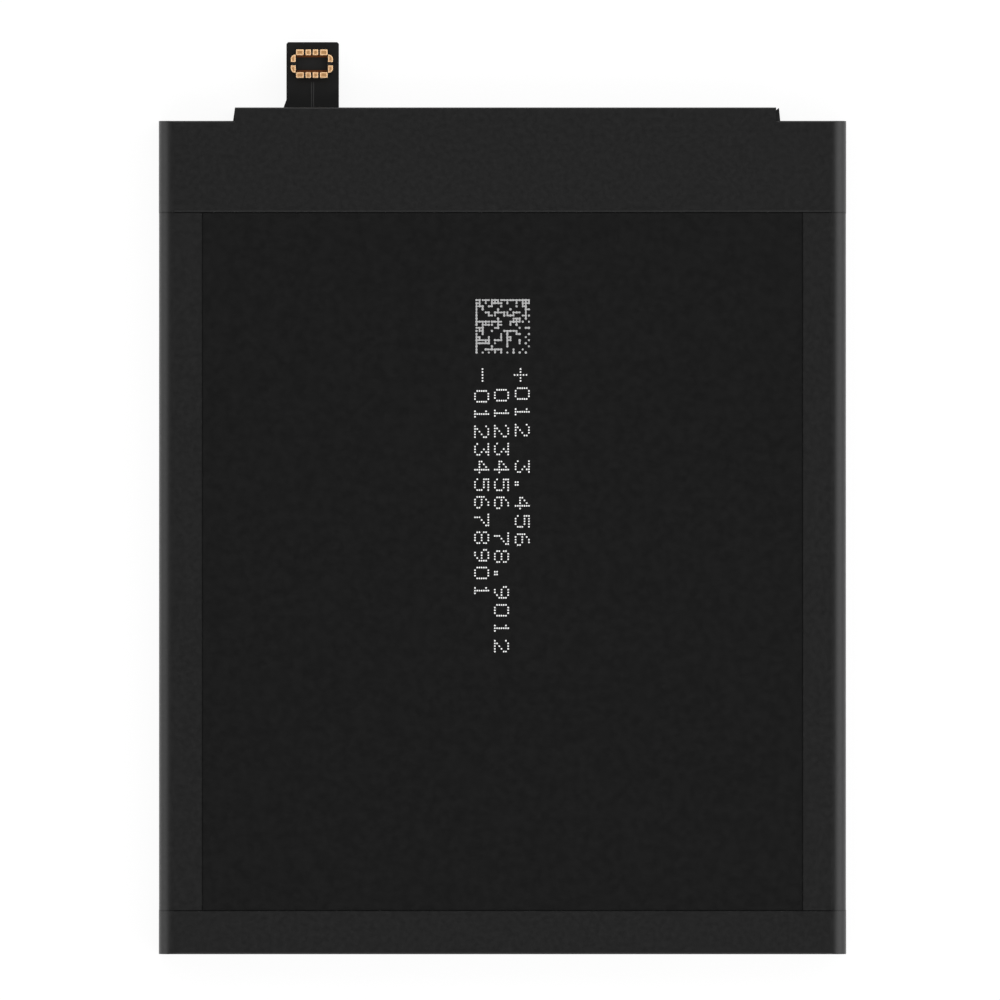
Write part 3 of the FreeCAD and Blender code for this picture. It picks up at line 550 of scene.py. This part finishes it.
def seam_shadow_lines():
    """Painted shadow lines in the window and on the side flaps' flats, and paler ones over the long edges."""
    flat = bmesh.new()
    curved = bmesh.new()
    head_line = (HEAD_SEAM_Y - SEAM_SHADOW_WIDTH, HEAD_SEAM_Y)
    foot_line = (BOTTOM_SEAM_Y, BOTTOM_SEAM_Y + SEAM_SHADOW_WIDTH)
    for y_low, y_high in (head_line, foot_line):
        add_bar(flat, (-WINDOW_X, WINDOW_X), y_low, y_high, FRONT_Z, SEAM_SHADOW_HEIGHT)
        for side in (-1, 1):
            add_bar(flat, (side * WINDOW_X, side * FLAT_X), y_low, y_high, FLAP_Z, SEAM_SHADOW_HEIGHT)
            add_ribbon(curved, over_the_edge(side), y_low, y_high, SEAM_SHADOW_HEIGHT)
    for side in (-1, 1):
        ends = (side * WINDOW_X, side * (WINDOW_X - SEAM_SHADOW_WIDTH))
        add_bar(flat, ends, foot_line[1], head_line[0], FRONT_Z, SEAM_SHADOW_HEIGHT)
    finish_piece("film_edge_painted_shadow", flat, SEAM_SHADOW_LOOK)
    finish_piece("film_edge_painted_shade", curved, EDGE_SHADE_LOOK)


# Lip that the die leaves along the head flap's cut edge, painted lighter than the film as a painted highlight

LIP_WIDTH = 0.15 * MM
LIP_HEIGHT = 0.006 * MM


def edge_lip_highlight():
    mesh = bmesh.new()
    add_bar(mesh, (-FLAT_X, FLAT_X), HEAD_SEAM_Y, HEAD_SEAM_Y + LIP_WIDTH, WRAP_HIGH.z, LIP_HEIGHT)
    finish_piece("head_flap_lip_highlight", mesh, LIP_HIGHLIGHT_LOOK)


# Dot print: plain counting digits and the two polarity signs, read from the head down

DIGITS = {
    "0": ("01110", "10001", "10001", "10001", "10001", "10001", "01110"),
    "1": ("00100", "01100", "00100", "00100", "00100", "00100", "01110"),
    "2": ("01110", "10001", "00001", "00010", "00100", "01000", "11111"),
    "3": ("11111", "00010", "00100", "00010", "00001", "10001", "01110"),
    "4": ("00010", "00110", "01010", "10010", "11111", "00010", "00010"),
    "5": ("11111", "10000", "11110", "00001", "00001", "10001", "01110"),
    "6": ("00110", "01000", "10000", "11110", "10001", "10001", "01110"),
    "7": ("11111", "00001", "00010", "00100", "01000", "01000", "01000"),
    "8": ("01110", "10001", "10001", "01110", "10001", "10001", "01110"),
    "9": ("01110", "10001", "10001", "01111", "00001", "00010", "01100"),
    ".": ("00000", "00000", "00000", "00000", "00000", "01100", "01100"),
    " ": (),
}
SIGN_DOTS = {
    "+": [(0, step) for step in range(-2, 3)] + [(step, 0) for step in (-2, -1, 1, 2)],
    "-": [(0, step) for step in range(-2, 3)],
}
DOT_RADIUS = 0.085 * MM
DOT_HEIGHT = 0.01 * MM
DOT_SIDES = 10
DOT_RISE = 0.217 * MM
DOT_RUN = 0.264 * MM
SIGN_STEP = 0.29 * MM
SIGN_Y = 15.886 * MM
GLYPH_ROWS = 7
GLYPH_COLUMNS = 5


class Column:
    """One line of print: its digits, the place of the first one and the step from cell to cell."""

    def __init__(self, name, text, middle_x, first_y, step):
        self.name = name
        self.text = text
        self.middle_x = middle_x
        self.first_y = first_y
        self.step = step


PRINT_COLUMNS = [
    Column("print_line_1", "012 3.456", 1.931 * MM, 14.068 * MM, 1.784 * MM),
    Column("print_line_2", "0123456 78.9012", -0.098 * MM, 13.902 * MM, 1.751 * MM),
    Column("print_line_3", "012345678901", -2.038 * MM, 13.794 * MM, 1.7255 * MM),
]
SIGNS = {"print_line_1": ("+", 1.76 * MM), "print_line_3": ("-", -1.955 * MM)}


def glyph_dots(character):
    """Places of a character's dots from its middle, turned to read downwards: its top is towards +X."""
    if character in SIGN_DOTS:
        return [(across * SIGN_STEP, along * SIGN_STEP) for across, along in SIGN_DOTS[character]]
    dots = []
    for row, line in enumerate(DIGITS[character]):
        for column, mark in enumerate(line):
            if mark == "1":
                across = ((GLYPH_ROWS - 1) / 2 - row) * DOT_RISE
                along = ((GLYPH_COLUMNS - 1) / 2 - column) * DOT_RUN
                dots.append((across, along))
    return dots


def print_glyph(mesh, character, middle_x, middle_y):
    for across, along in glyph_dots(character):
        add_dot(mesh, middle_x + across, middle_y + along, DOT_RADIUS, DOT_HEIGHT, DOT_SIDES)


def dot_print():
    for column in PRINT_COLUMNS:
        mesh = bmesh.new()
        if column.name in SIGNS:
            sign, sign_x = SIGNS[column.name]
            print_glyph(mesh, sign, sign_x, SIGN_Y)
        for index, character in enumerate(column.text):
            print_glyph(mesh, character, column.middle_x, column.first_y - index * column.step)
        finish_piece(column.name, mesh, INK_LOOK)


# Marked square: a made-up field of modules inside a ruled border. Each module is a laser dot, and most
# neighbours run together.

CODE_MODULES = 18
CODE_SIDE = 5.42 * MM
CODE_LEFT = -2.69 * MM
CODE_TOP = 23.35 * MM
CODE_FILL = 0.47
CODE_SEED = 7
MARK_RADIUS = 0.108 * MM
MARK_LEAST, MARK_MOST = 0.85, 1.15
MARK_HEIGHT = 0.006 * MM
MARK_SIDES = 8
BRIDGE_RADIUS = 0.082 * MM
BRIDGE_SHARE = 0.85


def module_is_marked(row, column, draw):
    """The left column and the top row are full, the other two borders alternate, and the rest is drawn."""
    last = CODE_MODULES - 1
    if column == 0 or row == 0:
        return True
    if row == last:
        return column % 2 == 0
    if column == last:
        return row % 2 == 1
    return draw < CODE_FILL


def code_square():
    rng = random.Random(CODE_SEED)
    module = CODE_SIDE / CODE_MODULES
    places = range(CODE_MODULES)
    marked = {
        (row, column)
        for row in places for column in places if module_is_marked(row, column, rng.random())
    }
    mesh = bmesh.new()

    def laser_dot(row, column, radius):
        x = CODE_LEFT + (column + 0.5) * module
        y = CODE_TOP - (row + 0.5) * module
        add_dot(mesh, x, y, radius * rng.uniform(MARK_LEAST, MARK_MOST), MARK_HEIGHT, MARK_SIDES)

    for row, column in sorted(marked):
        laser_dot(row, column, MARK_RADIUS)
        for down, across in ((0, 1), (1, 0)):
            if (row + down, column + across) in marked and rng.random() < BRIDGE_SHARE:
                laser_dot(row + down / 2, column + across / 2, BRIDGE_RADIUS)
    finish_piece("marked_square", mesh, MARK_LOOK)


# Flex tail: the edges of its two wide conductors, which stand up under the cover film, painted lighter as a
# highlight

TRACE_WIDTH = 0.1 * MM
TRACE_HEIGHT = 0.008 * MM
TRACE_GAP = 0.095 * MM
TRACE_MIDDLE_X = -18.575 * MM
TRACE_END_Y = 44.53 * MM


def trace_edge_highlights():
    mesh = bmesh.new()
    for side in (-1, 1):
        near = TRACE_MIDDLE_X + side * TRACE_GAP / 2
        far = near + side * TRACE_WIDTH
        add_bar(mesh, (near, far), SHOULDER_Y, TRACE_END_Y, TAIL_HIGH.z, TRACE_HEIGHT)
    finish_piece("tail_trace_edge_highlights", mesh, TRACE_HIGHLIGHT_LOOK)


# Stage: pale floor, soft lamps, a room that is brightest at the horizon, camera straight above

FLOOR_HALF = 4.0
FLOOR_DROP = 0.01 * MM
FLOOR_WHITE = 0.85
FLOOR_GLOW = 0.89
FLOOR_SHADOW = 0.16
HORIZON_LIGHT = 0.7
ZENITH_LIGHT = 0.12
LAMP_DISTANCE = 0.6
LAMP_WIDTH = 0.9
# Name, azimuth from +X and elevation in degrees, height in metres, radiance
LAMPS = (
    ("lamp_left", 180, 19, 0.4, 1.08),
    ("lamp_right", 0, 24, 0.5, 1.8),
    ("lamp_foot", -90, 47, 0.4, 1.1),
    ("lamp_head", 90, 47, 0.4, 1.1),
)
PHOTO_PIXELS = 1000
PIXEL = 0.09776 * MM
PACK_MIDDLE_PX = 502.5
PACK_BOTTOM_PX = 954
LENS = 1000
SENSOR = 36
SILHOUETTE_Z = 2.9 * MM


def floor_material():
    """White floor: seen white by the camera and in gloss, with the shadow that falls on it kept."""
    material = bpy.data.materials.new("studio_floor")
    material.use_nodes = True
    nodes = material.node_tree.nodes
    links = material.node_tree.links
    nodes.clear()
    path = nodes.new("ShaderNodeLightPath")
    seen = path.outputs["Is Camera Ray"]
    for kind in ("Is Glossy Ray", "Is Transmission Ray"):
        either = nodes.new("ShaderNodeMath")
        either.operation = "MAXIMUM"
        links.new(seen, either.inputs[0])
        links.new(path.outputs[kind], either.inputs[1])
        seen = either.outputs[0]
    plain = nodes.new("ShaderNodeBsdfDiffuse")
    plain.inputs["Color"].default_value = (FLOOR_WHITE, FLOOR_WHITE, FLOOR_WHITE, 1)
    glow = nodes.new("ShaderNodeEmission")
    glow.inputs["Strength"].default_value = FLOOR_GLOW
    shadow = nodes.new("ShaderNodeBsdfDiffuse")
    shadow.inputs["Color"].default_value = (FLOOR_SHADOW, FLOOR_SHADOW, FLOOR_SHADOW, 1)
    white = nodes.new("ShaderNodeAddShader")
    links.new(glow.outputs[0], white.inputs[0])
    links.new(shadow.outputs[0], white.inputs[1])
    mix = nodes.new("ShaderNodeMixShader")
    links.new(seen, mix.inputs[0])
    links.new(plain.outputs[0], mix.inputs[1])
    links.new(white.outputs[0], mix.inputs[2])
    output = nodes.new("ShaderNodeOutputMaterial")
    links.new(mix.outputs[0], output.inputs["Surface"])
    return material


def floor():
    mesh = bmesh.new()
    corners = [(-1, -1), (1, -1), (1, 1), (-1, 1)]
    mesh.faces.new([mesh.verts.new((x * FLOOR_HALF, y * FLOOR_HALF, -FLOOR_DROP)) for x, y in corners])
    new_object("floor", mesh, floor_material())


def soft_lamp(name, azimuth, elevation, height, radiance):
    """A wide soft box that looks at the battery."""
    turn = math.radians(azimuth)
    rise = math.radians(elevation)
    data = bpy.data.lights.new(name, "AREA")
    data.shape = "RECTANGLE"
    data.size = LAMP_WIDTH
    data.size_y = height
    data.energy = radiance * math.pi * LAMP_WIDTH * height
    lamp = bpy.data.objects.new(name, data)
    lamp.location = (
        LAMP_DISTANCE * math.cos(rise) * math.cos(turn),
        LAMP_DISTANCE * math.cos(rise) * math.sin(turn),
        LAMP_DISTANCE * math.sin(rise),
    )
    lamp.rotation_euler = (math.pi / 2 - rise, 0, turn + math.pi / 2)
    lamp.visible_camera = False
    bpy.context.scene.collection.objects.link(lamp)


def studio_world():
    """White room light, brightest at the horizon and dim straight above."""
    world = bpy.data.worlds.new("studio")
    world.use_nodes = True
    nodes = world.node_tree.nodes
    links = world.node_tree.links
    background = nodes["Background"]
    background.inputs["Color"].default_value = (1, 1, 1, 1)
    place = nodes.new("ShaderNodeTexCoord")
    apart = nodes.new("ShaderNodeSeparateXYZ")
    links.new(place.outputs["Generated"], apart.inputs["Vector"])
    dim = nodes.new("ShaderNodeMapRange")
    dim.inputs["To Min"].default_value = HORIZON_LIGHT
    dim.inputs["To Max"].default_value = ZENITH_LIGHT
    links.new(apart.outputs["Z"], dim.inputs["Value"])
    links.new(dim.outputs["Result"], background.inputs["Strength"])
    return world


def camera():
    """Straight above, with so long a lens that the frame is one scale from front to back."""
    frame_width = PHOTO_PIXELS * PIXEL
    data = bpy.data.cameras.new("camera")
    data.lens = LENS
    data.sensor_width = SENSOR
    eye = bpy.data.objects.new("camera", data)
    eye.location = (
        (PHOTO_PIXELS / 2 - PACK_MIDDLE_PX) * PIXEL,
        WRAP_LOW.y + (PACK_BOTTOM_PX - PHOTO_PIXELS / 2) * PIXEL,
        SILHOUETTE_Z + frame_width * LENS / SENSOR,
    )
    bpy.context.scene.collection.objects.link(eye)
    bpy.context.scene.camera = eye


dress_nodes()
seam_shadow_lines()
edge_lip_highlight()
dot_print()
code_square()
trace_edge_highlights()
floor()
bpy.context.scene.world = studio_world()
for lamp in LAMPS:
    soft_lamp(*lamp)
camera()
bpy.context.scene.view_settings.view_transform = "Standard"
